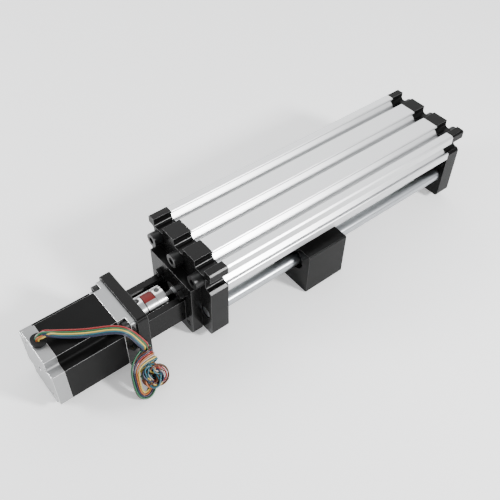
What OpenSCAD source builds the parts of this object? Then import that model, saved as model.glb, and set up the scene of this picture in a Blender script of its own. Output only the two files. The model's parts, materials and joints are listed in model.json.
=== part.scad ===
// Ball screw linear module: step motor, jaw coupling, ball screw between two end blocks,
// and a carriage on two round shafts that hangs under a T-slotted aluminium profile.
// It stands on its carriage, with the origin on that surface, in the middle of its length.
// Inside the modules X runs along the screw from the motor's mounting face, and Z is measured
// from the screw's axis.

/* [Profile] */
// Width of the profile and of both end blocks
profile_w = 90; // [86:1:110]
// Height of the profile
profile_h = 30; // [29:0.5:34]
// Length of the profile
profile_len = 276; // [220:1:600]
// Height of the profile's underside over the screw's axis
profile_rise = 24.2; // [22.2:0.1:32]
// Spacing of the slots on top
slot_pitch = 30; // [29:0.5:31]
// Width of a slot's mouth
slot_mouth = 11.4; // [8:0.2:12]
// Width of a slot behind its lips
slot_inner = 16.6; // [15:0.2:17]
// Thickness of a slot's lips
slot_lip = 1.8; // [1.6:0.1:2.4]
// Chamfer along the slots' lips
slot_edge = 0.8; // [0.4:0.1:1.2]
// Depth of the straight side behind the lip
slot_side = 2.4; // [1.6:0.1:2.6]
// Depth of a slot
slot_depth = 9.5; // [8:0.1:9.6]
// Bore of the screw ports in the profile
core_d = 6.8; // [5:0.1:7]
// Chamfer on the profile's long edges
profile_edge = 1.6; // [0.5:0.1:2]
// Wall round the profile's inner chambers
web = 2; // [1.6:0.1:2.4]

/* [End blocks] */
// Thickness of the block at the motor's end
near_t = 18; // [17:0.5:24]
// Thickness of the block at the far end
far_t = 16; // [14:0.5:24]
// Depth of the blocks below the screw's axis
block_drop = 24; // [20:0.5:25]
// Width of the blocks' slots
notch_w = 13.2; // [12:0.2:15]
// Depth of the blocks' slots
notch_depth = 7.5; // [5:0.1:8]
// Fillet at the bottom of the blocks' slots
notch_r = 3; // [1:0.1:3.6]
// Chamfer under the blocks' side slots
notch_edge = 2.4; // [1:0.1:3]
// Radius of the blocks' lower corners
block_foot_r = 4; // [1:0.5:6]

/* [Guides] */
// Diameter of the guide shafts
shaft_d = 12; // [10:0.5:12.5]
// Distance between the guide shafts
shaft_span = 72; // [68:1:74]
// How far the shafts' ends lie inside the blocks' outer faces
shaft_recess = 1; // [0.5:0.5:5]
// Diameter of the linear bearings
slide_bearing_d = 21; // [20:0.5:22]
// Length of the linear bearings
slide_bearing_len = 30; // [26:1:34]
// Running clearance of the linear bearings, on the radius
slide_gap = 0.03; // [0.02:0.01:0.08]

/* [Carriage] */
// Length of the carriage block
carriage_len = 45; // [44:1:60]
// Width of the carriage block
carriage_w = 110; // [100:1:130]
// Top of the carriage block over the screw's axis
carriage_rise = 16.8; // [15.8:0.1:19]
// Underside of the carriage block below the screw's axis
carriage_drop = 30.5; // [30.5:0.5:36]
// Free space between the motor-end block and the carriage at rest
carriage_place = 83; // [20:1:120]
// Bevel on the carriage block's long edges
carriage_edge = 1; // [0.5:0.1:2]
// Spacing of the load screws along the module
load_pitch_x = 30; // [24:1:34]
// Spacing of the load screws across the module
load_pitch_y = 90; // [80:1:100]
// Bore of the load screw holes
load_hole_d = 5; // [4:0.5:6]
// Depth of the load screw holes
load_hole_depth = 12; // [8:1:14]

/* [Ball screw] */
// Diameter of the ball screw
screw_d = 12; // [11:0.5:12]
// Diameter of the screw's journals
journal_d = 10; // [9:0.5:10]
// Diameter of the screw's coupling end
screw_end_d = 8; // [6:0.5:8]
// Outer diameter of the screw's bearings
bearing_d = 26; // [26:1:28]
// Width of one screw bearing
bearing_t = 8; // [7.5:0.1:8.2]
// Diameter of the ball nut's body
nut_d = 24; // [22:0.5:25]
// Diameter of the ball nut's flange
nut_flange_d = 40; // [39:1:41]
// Thickness of the ball nut's flange
nut_flange_t = 10; // [8:0.5:11]
// Width of the ball nut's flange across its flats
nut_flange_h = 30; // [28:0.5:30]
// Length of the ball nut
nut_len = 40; // [36:1:42]
// Bolt circle of the ball nut's flange
nut_pcd = 32; // [31.5:0.1:32.5]
// Running clearance of the ball nut, on the radius
nut_gap = 0.06; // [0.02:0.01:0.1]

/* [Bracket] */
// Thickness of the motor plate
plate_t = 9.5; // [8:0.5:12]
// Rim of the motor plate round the motor
plate_rim = 2.3; // [1:0.1:4]
// Length of the open channel between the plates
channel_len = 41.5; // [38:0.5:60]
// Width of the channel outside
channel_w = 40; // [38:0.5:46]
// Width of the channel inside
channel_inner = 28; // [27:0.5:31]
// Top of the channel's walls over the screw's axis
channel_rise = 8; // [5:0.5:10]
// Underside of the channel below the screw's axis
channel_drop = 19.5; // [18:0.5:19.5]
// Thickness of the bearing plate
bearing_plate_t = 10; // [9:0.5:14]
// Width of the bearing plate
bearing_plate_w = 61; // [58:0.5:62]
// Top of the bearing plate over the screw's axis
bearing_plate_rise = 29.3; // [28:0.1:30]
// Underside of the bearing plate below the screw's axis
bearing_plate_drop = 30; // [28:0.5:30]

/* [Coupling] */
// Diameter of the coupling
coupling_d = 25; // [24:0.5:27]
// Length of one coupling hub without its jaws
hub_len = 10; // [9:0.5:12]
// Length of the spider
spider_len = 10; // [8:0.2:11]
// Free space between the motor plate and the coupling
coupling_gap = 2; // [1:0.5:4]

/* [Motor] */
// Width and height of the motor
motor_w = 56.4; // [56:0.1:57]
// Length of the motor body
motor_len = 76; // [72:1:112]
// Length of the front bell
bell_len = 12; // [11:0.5:16]
// Thickness of the mounting flange
flange_t = 5; // [4:0.5:6]
// Length of the rear cap
cap_len = 10.7; // [10:0.1:14]
// Fillet in the notches along the motor's corners
corner_r = 2.5; // [1:0.5:4]
// Diameter of the pilot
pilot_d = 38.1; // [36:0.1:40]
// Height of the pilot
pilot_h = 1.6; // [1:0.1:2.4]
// Distance of the mounting holes from the motor's sides
mount_edge = 4.63; // [4.5:0.01:5]
// Diameter of the motor's shaft
motor_shaft_d = 8; // [6:0.5:8]
// Outer diameter of the motor's bearings
motor_bearing_d = 22; // [20:0.5:23]
// Width of the motor's bearings
motor_bearing_t = 7; // [6:0.5:7]
// Rotor's diameter as a share of the winding's
rotor_share = 0.68; // [0.64:0.01:0.7]

/* [Leads] */
// Diameter of the bundle of leads
bundle_d = 5; // [3:0.2:5.4]
// Height of the grommet over the rear cap
grommet_h = 3; // [2:0.5:5]

/* [Hidden] */

$fn = 48;
// Overshoot of a cut past the face that it opens
cut = 0.5;
// Air round the heads of sunk screws
head_air = 0.6;
// Air between the rotor and the stator
air_gap = 0.4;

// Places along X, from the motor's mounting face
x_plate = plate_t;
x_bearing_plate = plate_t + channel_len;
x_near = x_bearing_plate + bearing_plate_t;
x_profile = x_near + near_t;
x_far = x_profile + profile_len;
x_end = x_far + far_t;
x_carriage = x_profile + carriage_place;
x_carriage_end = x_carriage + carriage_len;

// Heights from the screw's axis
z_top = profile_rise + profile_h;
z_mid = profile_rise + profile_h / 2;

// Cap screws: [shank, head diameter, head height, hexagon across flats]
M3 = [3, 5.5, 3, 2.5];
M4 = [4, 7, 4, 3];
M5 = [5, 8.5, 5, 4];
M8 = [8, 13, 8, 6];

// Ball bearings: [bore, outer diameter, width, ball diameter, number of balls]
screw_bearing = [journal_d, bearing_d, bearing_t, 4.4, 9];
motor_bearing = [motor_shaft_d, motor_bearing_d, motor_bearing_t, 3.8, 8];
ball_gap = 0.08;

function ball_circle_d(b) = (b[0] + b[1]) / 2;
function ring_wall(b) = (b[1] - b[0]) / 2;
function inner_ring_d(b) = b[0] + ring_wall(b) * 0.56;
function outer_ring_d(b) = b[1] - ring_wall(b) * 0.56;

// Fixed pair in the motor-end block, clamped by the bracket's bearing plate
x_fixed_1 = x_near;
x_fixed_2 = x_near + bearing_t;
// Floating bearing in the far block, between a lip and a retaining ring
far_lip = 2;
x_floating = x_far + far_lip;
retainer_t = 1.2;
ring_groove = 0.8;

// Coupling
x_hub_motor = plate_t + coupling_gap;
x_spider = x_hub_motor + hub_len;
x_hub_screw = x_spider + spider_len;

// Motor
cap_floor = 2;
rear_hole_d = 5;
stator_len = motor_len - bell_len - cap_len;
winding_reach = 5;
motor_thread = 8;
x_motor_front = -2 - motor_bearing[2];
x_motor_rear = -motor_len + cap_floor;
x_motor_shaft_end = x_hub_motor + hub_len - 1;

// Bracket screws, above the channel's walls and, with sunk heads, beside them
bracket_thread = 10;
head_gap = 0.6;
lower_sink = M4[2] + 0.4;
upper_screw_y = channel_w / 2 - M4[1] / 2;
upper_screw_z = channel_rise + M4[1] / 2 + 1.5;
lower_screw_y = channel_w / 2 + M4[1] / 2 + head_gap;
lower_screw_z = -block_drop + 6.5;

// Spacer, lock nut and circlip on the screw
spacer_len = 2.5;
lock_nut_t = 7;
x_lock_nut = x_fixed_1 - spacer_len - lock_nut_t;
x_screw_start = x_hub_screw + 1;
circlip_t = 1;
x_circlip = x_floating + bearing_t + 0.1;
circlip_groove = 0.5;
x_screw_end = x_circlip + circlip_t + 1.7;

// Carriage
seal_t = 2;
seal_d = slide_bearing_d - 2.4;
x_slide_bearing = x_carriage + (carriage_len - slide_bearing_len) / 2;
slide_ring_t = 1.1;
slide_ring_groove = 0.7;
nut_pocket_gap = 0.4;
x_nut_flange = x_carriage_end - nut_flange_t;
nut_screw_angles = [0, 45, -45];
nut_thread = 9;
wiper_d = 17;

// Grommet
x_grommet = -motor_len + 6.5;
grommet_y = 2;
grommet_len = 11;
grommet_w = 13;

// Thread of the profile screws in the profile's core holes
profile_thread = 16;

// The motor plate, and the screws that hold the motor to it
plate_w = motor_w + 2 * plate_rim;
mount_pitch = motor_w - 2 * mount_edge;
// Where the notches along the motor's corners start, for room round the screws' heads
corner_in = mount_pitch / 2 - M5[1] / 2 - head_air;

// The long bolts inside those notches, and the winding inside the bolts
bolt_inset = 2.3;
bolt_pitch = 2 * (corner_in - bolt_inset);
winding_air = 1.2;
winding_d_out = bolt_pitch * sqrt(2) - M3[0] - 2 * winding_air;
rotor_d = rotor_share * winding_d_out;
stator_bore = rotor_d + 2 * air_gap;
winding_d_in = rotor_d + 3;
boss_air = 2;
boss_d = winding_d_in - 2 * boss_air;

// The whole length, from the rear cap to the far profile screws, and the surface below
x_back = -motor_len;
x_front = x_end + M8[2];
floor_drop = max(carriage_drop, plate_w / 2);
place = [-(x_back + x_front) / 2, 0, floor_drop];

black = [0.13, 0.13, 0.14];
silver = [0.80, 0.81, 0.83];
steel = [0.62, 0.63, 0.66];
zinc = [0.45, 0.45, 0.47];

// ---------- shared shapes ----------

// A round bar or disc along X, from x for a length
module bar_x(d, x, len, sides = 48) {
    translate([x, 0, 0])
        rotate([0, 90, 0])
            cylinder(d = d, h = len, $fn = sides);
}

// A ring along X
module ring_x(d_out, d_in, x, len) {
    difference() {
        bar_x(d_out, x, len);
        bar_x(d_in, x - cut, len + 2 * cut);
    }
}

// A flat outline in Y and Z, given thickness along X
module slab_x(x, len) {
    translate([x, 0, 0])
        rotate([90, 0, 90])
            linear_extrude(height = len)
                children();
}

// A hexagon bar along X
module hex_x(across, x, len) {
    translate([x, 0, 0])
        rotate([0, 90, 0])
            cylinder(d = across / cos(30), h = len, $fn = 6);
}

// A cap screw along +X: its head ends at x, its shank runs on from there, with a thinner tip
module cap_screw_x(size, x, shank_len, tip_d = 0, tip_len = 0) {
    head_h = size[2];
    socket_depth = head_h * 0.55;
    difference() {
        bar_x(size[1], x - head_h, head_h, 32);
        hex_x(size[3], x - head_h - cut, socket_depth + cut);
    }
    bar_x(size[0], x, shank_len, 32);
    if (tip_len > 0)
        bar_x(tip_d, x + shank_len, tip_len, 32);
}

// A set screw that stands upright with its cup end at z
module set_screw_z(d, z, len, across) {
    translate([0, 0, z])
        difference() {
            cylinder(d = d, h = len, $fn = 32);
            translate([0, 0, -cut])
                cylinder(d = across / cos(30), h = len * 0.5 + cut, $fn = 6);
        }
}

// Copies at the four corners of a square pattern
module at_corners(pitch) {
    for (sy = [-1, 1], sz = [-1, 1])
        translate([0, sy * pitch / 2, sz * pitch / 2])
            children();
}

// Copies on both guide shafts' axes
module at_shafts() {
    for (side = [-1, 1])
        translate([0, side * shaft_span / 2, 0])
            children();
}

// ---------- ball bearings ----------

// The balls' groove, as a torus to cut out of a ring
module ball_groove(b) {
    rotate([0, 90, 0])
        rotate_extrude()
            translate([ball_circle_d(b) / 2, 0])
                circle(d = b[3] + 2 * ball_gap, $fn = 32);
}

module outer_ring(b, x) {
    difference() {
        ring_x(b[1], outer_ring_d(b), x, b[2]);
        translate([x + b[2] / 2, 0, 0])
            ball_groove(b);
    }
}

module inner_ring(b, x) {
    difference() {
        ring_x(inner_ring_d(b), b[0], x, b[2]);
        translate([x + b[2] / 2, 0, 0])
            ball_groove(b);
    }
}

module bearing_balls(b, x) {
    for (i = [0 : b[4] - 1])
        rotate([i * 360 / b[4], 0, 0])
            translate([x + b[2] / 2, ball_circle_d(b) / 2, 0])
                sphere(d = b[3], $fn = 24);
}

// ---------- profile ----------

// One T-slot, cut down from the line y = 0, with its inner sides at 45 degrees
module slot_outline() {
    half_mouth = slot_mouth / 2;
    half_inner = slot_inner / 2;
    bend = slot_lip + slot_side;
    half_floor = max(half_inner - (slot_depth - bend), 1);
    polygon([
        [-half_mouth - slot_edge - cut, cut], [-half_mouth, -slot_edge],
        [-half_mouth, -slot_lip],
        [-half_inner, -slot_lip], [-half_inner, -bend],
        [-half_floor, -slot_depth], [half_floor, -slot_depth],
        [half_inner, -bend], [half_inner, -slot_lip],
        [half_mouth, -slot_lip],
        [half_mouth, -slot_edge], [half_mouth + slot_edge + cut, cut]
    ]);
}

// One closed chamber between two slots
module chamber_outline() {
    reach = slot_inner / 2 + slot_lip + slot_side;
    side = slot_pitch / 2;
    top = profile_h / 2 - slot_lip - web;
    // the 45 degree wall of the next slot, less the web
    lean = side + profile_h / 2 - reach - web * sqrt(2);
    waist = side - core_d / 2 - web * 1.5;
    half_top = min(lean - top, waist);
    shoulder = lean - waist;
    polygon([
        [-half_top, top], [half_top, top], [waist, shoulder],
        [waist, -shoulder], [half_top, -top], [-half_top, -top],
        [-waist, -shoulder], [-waist, shoulder]
    ]);
}

module chamfered_rectangle(w, h, c) {
    polygon([
        [-w / 2 + c, -h / 2], [w / 2 - c, -h / 2], [w / 2, -h / 2 + c], [w / 2, h / 2 - c],
        [w / 2 - c, h / 2], [-w / 2 + c, h / 2], [-w / 2, h / 2 - c], [-w / 2, -h / 2 + c]
    ]);
}

module profile_outline() {
    difference() {
        chamfered_rectangle(profile_w, profile_h, profile_edge);
        for (i = [-1 : 1], turn = [0, 180])
            rotate(turn)
                translate([i * slot_pitch, profile_h / 2])
                    slot_outline();
        for (turn = [90, 270])
            rotate(turn)
                translate([0, profile_w / 2])
                    slot_outline();
        for (i = [-1 : 1])
            translate([i * slot_pitch, 0])
                circle(d = core_d);
        for (side = [-1, 1])
            translate([side * slot_pitch / 2, 0])
                chamber_outline();
    }
}

module profile() {
    color(silver)
        translate(place)
            slab_x(x_profile, profile_len)
                translate([0, z_mid])
                    profile_outline();
}

// ---------- end blocks ----------

// One of the blocks' slots, cut down from the line y = 0, with filleted corners
module notch_outline() {
    half = notch_w / 2;
    translate([-half, -notch_depth + notch_r])
        square([notch_w, notch_depth - notch_r + cut]);
    translate([-half + notch_r, -notch_depth])
        square([notch_w - 2 * notch_r, notch_depth]);
    for (side = [-1, 1])
        translate([side * (half - notch_r), -notch_depth + notch_r])
            circle(r = notch_r);
}

// Outline of both end blocks: slots on top and sides that carry on the profile's
module block_outline() {
    half_w = profile_w / 2;
    lower_lip = z_mid - notch_w / 2;
    foot = block_foot_r;
    difference() {
        union() {
            polygon([
                [-half_w + foot, -block_drop], [half_w - foot, -block_drop],
                [half_w, -block_drop + foot], [half_w, lower_lip - notch_edge],
                [half_w - notch_edge, lower_lip], [half_w, z_mid],
                [half_w, z_top - profile_edge], [half_w - profile_edge, z_top],
                [-half_w + profile_edge, z_top], [-half_w, z_top - profile_edge],
                [-half_w, z_mid], [-half_w + notch_edge, lower_lip],
                [-half_w, lower_lip - notch_edge], [-half_w, -block_drop + foot]
            ]);
            for (side = [-1, 1])
                translate([side * (half_w - foot), -block_drop + foot])
                    circle(r = foot);
        }
        for (i = [-1 : 1])
            translate([i * slot_pitch, z_top])
                notch_outline();
        for (side = [-1, 1])
            translate([side * half_w, z_mid])
                rotate(-90 * side)
                    notch_outline();
    }
}

// Holes that both blocks share: profile screws, guide shafts and their set screws
module block_holes(x, len) {
    for (i = [-1 : 1])
        translate([0, i * slot_pitch, z_mid])
            bar_x(M8[0] + 1, x - cut, len + 2 * cut);
    at_shafts()
        translate([x + len / 2, 0, -block_drop - cut])
            cylinder(d = M5[0], h = block_drop + cut);
}

module motor_end_block() {
    color(black)
        translate(place)
            difference() {
                slab_x(x_near, near_t)
                    block_outline();
                block_holes(x_near, near_t);
                at_shafts()
                    bar_x(shaft_d, x_near - cut, near_t + 2 * cut);
                // seat of the fixed bearings, open towards the bracket
                bar_x(bearing_d, x_near - cut, 2 * bearing_t + cut);
                bar_x(outer_ring_d(screw_bearing), x_near, near_t + cut);
                upper_screw_places()
                    bar_x(M4[0], x_near - cut, bracket_thread + cut);
                lower_screw_places()
                    bar_x(M4[0], x_near - cut, bracket_thread + cut);
            }
}

module far_end_block() {
    color(black)
        translate(place)
            difference() {
                slab_x(x_far, far_t)
                    block_outline();
                block_holes(x_far, far_t);
                at_shafts()
                    bar_x(shaft_d, x_far - cut, far_t + 2 * cut);
                // seat of the floating bearing, open towards the outside
                bar_x(bearing_d, x_floating, far_t);
                bar_x(outer_ring_d(screw_bearing), x_far - cut, far_t);
                // groove of the retaining ring
                bar_x(bearing_d + 2 * ring_groove, x_floating + bearing_t, retainer_t);
            }
}

// ---------- motor bracket ----------

// The four screws that hold the bracket to the motor-end block, two in the open channel
module upper_screw_places() {
    for (side = [-1, 1])
        translate([0, side * upper_screw_y, upper_screw_z])
            children();
}

module lower_screw_places() {
    for (side = [-1, 1])
        translate([0, side * lower_screw_y, lower_screw_z])
            children();
}

module channel_outline() {
    half_out = channel_w / 2;
    bevel_out = 2.5;
    bevel_in = 1.2;
    z_bevel = channel_rise - bevel_in;
    y_bevel = sqrt(pow(channel_inner / 2, 2) - pow(z_bevel, 2));
    difference() {
        polygon([
            [-half_out, channel_rise], [-half_out, -channel_drop + bevel_out],
            [-half_out + bevel_out, -channel_drop], [half_out - bevel_out, -channel_drop],
            [half_out, -channel_drop + bevel_out], [half_out, channel_rise]
        ]);
        circle(d = channel_inner, $fn = 96);
        polygon([
            [-y_bevel, 0], [y_bevel, 0], [y_bevel, z_bevel],
            [y_bevel + bevel_in, channel_rise], [y_bevel + bevel_in, channel_rise + cut],
            [-y_bevel - bevel_in, channel_rise + cut], [-y_bevel - bevel_in, channel_rise],
            [-y_bevel, z_bevel]
        ]);
    }
}

// A rectangle in Y and Z with round corners, from its bottom to its top height
module rounded_plate(w, bottom, top, r) {
    for (side = [-1, 1], z = [bottom + r, top - r])
        translate([side * (w / 2 - r), z])
            circle(r = r);
    translate([-w / 2 + r, bottom])
        square([w - 2 * r, top - bottom]);
    translate([-w / 2, bottom + r])
        square([w, top - bottom - 2 * r]);
}

module motor_bracket() {
    plate_r = 3;
    bearing_plate_r = 5;
    color(black)
        translate(place)
            difference() {
                union() {
                    slab_x(0, plate_t)
                        rounded_plate(plate_w, -plate_w / 2, plate_w / 2, plate_r);
                    slab_x(x_plate, channel_len)
                        channel_outline();
                    slab_x(x_bearing_plate, bearing_plate_t) {
                        rounded_plate(bearing_plate_w, -bearing_plate_drop, 0, bearing_plate_r);
                        translate([-bearing_plate_w / 2, -bearing_plate_r])
                            square([bearing_plate_w, bearing_plate_rise + bearing_plate_r]);
                    }
                }
                // pilot seat, then a way through for the coupling
                bar_x(pilot_d + 0.1, -cut, pilot_h + 0.6 + cut);
                bar_x(channel_inner, 0, plate_t + cut);
                // the bearing plate clears the lock nut and clamps the bearing's outer ring
                bar_x(outer_ring_d(screw_bearing) + 1, x_bearing_plate - cut, bearing_plate_t + 2 * cut);
                at_corners(mount_pitch)
                    bar_x(M5[0], -cut, motor_thread + cut);
                upper_screw_places()
                    bar_x(M4[0] + 0.5, x_bearing_plate - cut, bearing_plate_t + 2 * cut);
                lower_screw_places() {
                    bar_x(M4[0] + 0.5, x_bearing_plate - cut, bearing_plate_t + 2 * cut);
                    bar_x(M4[1] + head_air, x_bearing_plate - cut, lower_sink + cut);
                }
            }
}

// ---------- guide shafts ----------

module guide_shaft() {
    x = x_near + shaft_recess;
    len = x_end - x_near - 2 * shaft_recess;
    bevel = 1;
    translate([x, 0, 0])
        rotate([0, 90, 0])
            rotate_extrude()
                polygon([
                    [0, 0], [shaft_d / 2 - bevel, 0], [shaft_d / 2, bevel],
                    [shaft_d / 2, len - bevel], [shaft_d / 2 - bevel, len], [0, len]
                ]);
}

module guide_shaft_near() {
    color(steel)
        translate(place)
            translate([0, -shaft_span / 2, 0])
                guide_shaft();
}

module guide_shaft_far() {
    color(steel)
        translate(place)
            translate([0, shaft_span / 2, 0])
                guide_shaft();
}

// ---------- fasteners of the frame ----------

module profile_screws_motor_end() {
    color(black)
        translate(place)
            for (i = [-1 : 1])
                translate([0, i * slot_pitch, z_mid])
                    cap_screw_x(M8, x_near, near_t, core_d, profile_thread);
}

module profile_screws_far_end() {
    color(black)
        translate(place)
            for (i = [-1 : 1])
                translate([x_end, i * slot_pitch, z_mid])
                    mirror([1, 0, 0])
                        cap_screw_x(M8, 0, far_t, core_d, profile_thread);
}

module bracket_screws() {
    color(black)
        translate(place) {
            upper_screw_places()
                cap_screw_x(M4, x_bearing_plate, bearing_plate_t + bracket_thread - 1);
            lower_screw_places()
                cap_screw_x(M4, x_bearing_plate + lower_sink,
                    bearing_plate_t - lower_sink + bracket_thread - 1);
        }
}

module motor_screws() {
    color(black)
        translate(place)
            at_corners(mount_pitch)
                cap_screw_x(M5, -flange_t, flange_t + motor_thread - 1);
}

module shaft_set_screws() {
    len = 10;
    color(zinc)
        translate(place)
            for (x = [x_near + near_t / 2, x_far + far_t / 2])
                at_shafts()
                    translate([x, 0, 0])
                        set_screw_z(M5[0], -shaft_d / 2 - len, len, 2.5);
}

// ---------- motor ----------

// The motor's square outline, notched along its corners so that the mounting screws go in
module motor_outline(w) {
    reach = w / 2 - corner_in + cut;
    difference() {
        square([w, w], center = true);
        for (i = [0 : 3])
            rotate(90 * i)
                translate([corner_in, corner_in]) {
                    translate([corner_r, 0])
                        square([reach - corner_r, reach]);
                    translate([0, corner_r])
                        square([reach, reach - corner_r]);
                    translate([corner_r, corner_r])
                        circle(r = corner_r);
                }
    }
}

module motor_front_bell() {
    color(silver)
        translate(place)
            difference() {
                union() {
                    slab_x(-flange_t, flange_t)
                        rounded_plate(motor_w, -motor_w / 2, motor_w / 2, 2.5);
                    slab_x(-bell_len, bell_len)
                        motor_outline(motor_w);
                    bar_x(pilot_d, -cut, pilot_h + cut, 96);
                }
                at_corners(mount_pitch)
                    bar_x(M5[0] + 0.2, -bell_len, bell_len + cut);
                at_corners(bolt_pitch)
                    bar_x(M3[0], -bell_len - cut, bell_len - flange_t + cut);
                // hollow round the bearing boss, for the winding
                ring_x(winding_d_out + 1, boss_d, -bell_len - cut, bell_len - flange_t - 1 + cut);
                bar_x(motor_bearing[1], -bell_len - cut, bell_len - 2 + cut);
                bar_x(outer_ring_d(motor_bearing), -bell_len, bell_len + pilot_h + cut);
            }
}

module motor_stator() {
    x = -bell_len - stator_len;
    tooth_count = 8;
    slot_r = (stator_bore + winding_d_out) / 4;
    color(black)
        translate(place)
            difference() {
                slab_x(x, stator_len)
                    difference() {
                        motor_outline(motor_w);
                        circle(d = stator_bore, $fn = 96);
                        // gaps between the poles, for the winding
                        for (i = [0 : tooth_count - 1])
                            rotate((i + 0.5) * 360 / tooth_count)
                                translate([stator_bore / 2 - 1, -2])
                                    square([slot_r - stator_bore / 2 + 1, 4]);
                    }
                at_corners(bolt_pitch)
                    bar_x(M3[0] + 0.4, x - cut, stator_len + 2 * cut);
            }
}

module motor_windings() {
    color([0.72, 0.42, 0.20])
        translate(place) {
            ring_x(winding_d_out, winding_d_in, -bell_len, winding_reach);
            ring_x(winding_d_out, winding_d_in, -bell_len - stator_len - winding_reach, winding_reach);
        }
}

module motor_rear_cap() {
    color(silver)
        translate(place)
            difference() {
                slab_x(-motor_len, cap_len)
                    motor_outline(motor_w);
                ring_x(winding_d_out + 1, boss_d, -motor_len + cap_len - winding_reach - 1, cap_len);
                bar_x(motor_bearing[1], x_motor_rear, cap_len);
                bar_x(rear_hole_d, -motor_len - cut, cap_len);
                at_corners(bolt_pitch) {
                    bar_x(M3[0] + 0.4, -motor_len - cut, cap_len + 2 * cut);
                    bar_x(M3[1] + head_air, -motor_len - cut, M3[2] + cut);
                }
            }
}

module motor_through_bolts() {
    color(zinc)
        translate(place)
            at_corners(bolt_pitch)
                cap_screw_x(M3, -motor_len + M3[2], motor_len - M3[2] - flange_t - 1);
}

module motor_bearing_outer_rings() {
    color(steel)
        translate(place) {
            outer_ring(motor_bearing, x_motor_front);
            outer_ring(motor_bearing, x_motor_rear);
        }
}

module motor_bearing_inner_rings() {
    color(steel)
        translate(place) {
            inner_ring(motor_bearing, x_motor_front);
            inner_ring(motor_bearing, x_motor_rear);
        }
}

module motor_bearing_balls() {
    color(silver)
        translate(place) {
            bearing_balls(motor_bearing, x_motor_front);
            bearing_balls(motor_bearing, x_motor_rear);
        }
}

module motor_shaft() {
    x = x_motor_rear + 0.5;
    color(steel)
        translate(place)
            bar_x(motor_shaft_d, x, x_motor_shaft_end - x);
}

module motor_rotor() {
    margin = 4;
    color(zinc)
        translate(place)
            ring_x(rotor_d, motor_shaft_d, -bell_len - stator_len + margin, stator_len - 2 * margin);
}

// ---------- coupling ----------

jaw_angle = 45;
jaw_bore = 10;
jaw_gap = 0.3;

// A quarter-turn pattern of wedges, centred on the directions start, start + 90, ...
module wedges(start, angle) {
    reach = coupling_d;
    for (i = [0 : 3])
        rotate(start + 90 * i)
            polygon([
                [0, 0],
                [reach, -reach * tan(angle / 2)],
                [reach, reach * tan(angle / 2)]
            ]);
}

// The part of the ring between the jaws' bore and the coupling's outside that the wedges cover
module jaw_outline(start, angle) {
    intersection() {
        difference() {
            circle(d = coupling_d, $fn = 96);
            circle(d = jaw_bore);
        }
        wedges(start, angle);
    }
}

// Two opposite jaws of one hub
module jaw_pair(turn, x, len) {
    slab_x(x, len)
        intersection() {
            jaw_outline(jaw_angle, jaw_angle);
            rotate(turn)
                square([coupling_d, coupling_d]);
        }
    slab_x(x, len)
        intersection() {
            jaw_outline(jaw_angle, jaw_angle);
            rotate(turn + 180)
                square([coupling_d, coupling_d]);
        }
}

// Set screw directions on each hub, in degrees from +Y towards +Z
hub_screw_angles = [84, -6];

// A set screw hole or screw that points at the axis
module hub_screws_at(x) {
    for (angle = hub_screw_angles)
        translate([x, 0, 0])
            rotate([angle - 90, 0, 0])
                children();
}

module hub_body(x, bore_d, bore_x, bore_len) {
    bevel = 0.8;
    difference() {
        translate([x, 0, 0])
            rotate([0, 90, 0])
                rotate_extrude($fn = 96)
                    polygon([
                        [0, 0], [coupling_d / 2 - bevel, 0], [coupling_d / 2, bevel],
                        [coupling_d / 2, hub_len - bevel], [coupling_d / 2 - bevel, hub_len],
                        [0, hub_len]
                    ]);
        bar_x(bore_d, bore_x, bore_len);
        hub_screws_at(x + hub_len / 2)
            cylinder(d = M5[0], h = coupling_d);
    }
}

module coupling_hub_motor() {
    color(silver)
        translate(place) {
            hub_body(x_hub_motor, motor_shaft_d, x_hub_motor - cut, hub_len + 2 * cut);
            jaw_pair(0, x_spider - cut, spider_len - jaw_gap + cut);
        }
}

module coupling_hub_screw() {
    color(silver)
        translate(place) {
            hub_body(x_hub_screw, screw_end_d, x_hub_screw - cut, hub_len + 2 * cut);
            jaw_pair(90, x_spider + jaw_gap, spider_len - jaw_gap + cut);
        }
}

module coupling_spider() {
    inner_d = 6.4;
    arm_angle = 90 - jaw_angle;
    color([0.78, 0.12, 0.10])
        translate(place)
            slab_x(x_spider, spider_len)
                difference() {
                    union() {
                        jaw_outline(0, arm_angle);
                        circle(d = jaw_bore);
                    }
                    circle(d = inner_d);
                }
}

module coupling_set_screws() {
    len = 6;
    color(zinc)
        translate(place) {
            hub_screws_at(x_hub_motor + hub_len / 2)
                translate([0, 0, motor_shaft_d / 2])
                    mirror([0, 0, 1])
                        set_screw_z(M5[0], -len, len, 2.5);
            hub_screws_at(x_hub_screw + hub_len / 2)
                translate([0, 0, screw_end_d / 2])
                    mirror([0, 0, 1])
                        set_screw_z(M5[0], -len, len, 2.5);
        }
}

// ---------- ball screw and its bearings ----------

// Turned steps of the screw: [radius, length] corners from the coupling end to the free end
module ball_screw() {
    thread_r = screw_d / 2;
    journal_r = journal_d / 2;
    end_r = screw_end_d / 2;
    groove_r = journal_r - circlip_groove;
    x_shoulder = x_fixed_2 + bearing_t;
    bevel = 0.4;
    color(steel)
        translate(place)
            rotate([0, 90, 0])
                rotate_extrude()
                    polygon([
                        [0, x_screw_start], [end_r - 0.5, x_screw_start],
                        [end_r, x_screw_start + 0.5], [end_r, x_lock_nut - 2],
                        [journal_r, x_lock_nut - 1.5], [journal_r, x_shoulder],
                        [thread_r, x_shoulder], [thread_r, x_floating - bevel],
                        [thread_r - bevel, x_floating], [journal_r, x_floating],
                        [journal_r, x_circlip], [groove_r, x_circlip],
                        [groove_r, x_circlip + circlip_t], [journal_r, x_circlip + circlip_t],
                        [journal_r, x_screw_end - 0.5], [journal_r - 0.5, x_screw_end],
                        [0, x_screw_end]
                    ]);
}

module bearing_spacer() {
    color(steel)
        translate(place)
            ring_x(inner_ring_d(screw_bearing), journal_d, x_fixed_1 - spacer_len, spacer_len);
}

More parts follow.
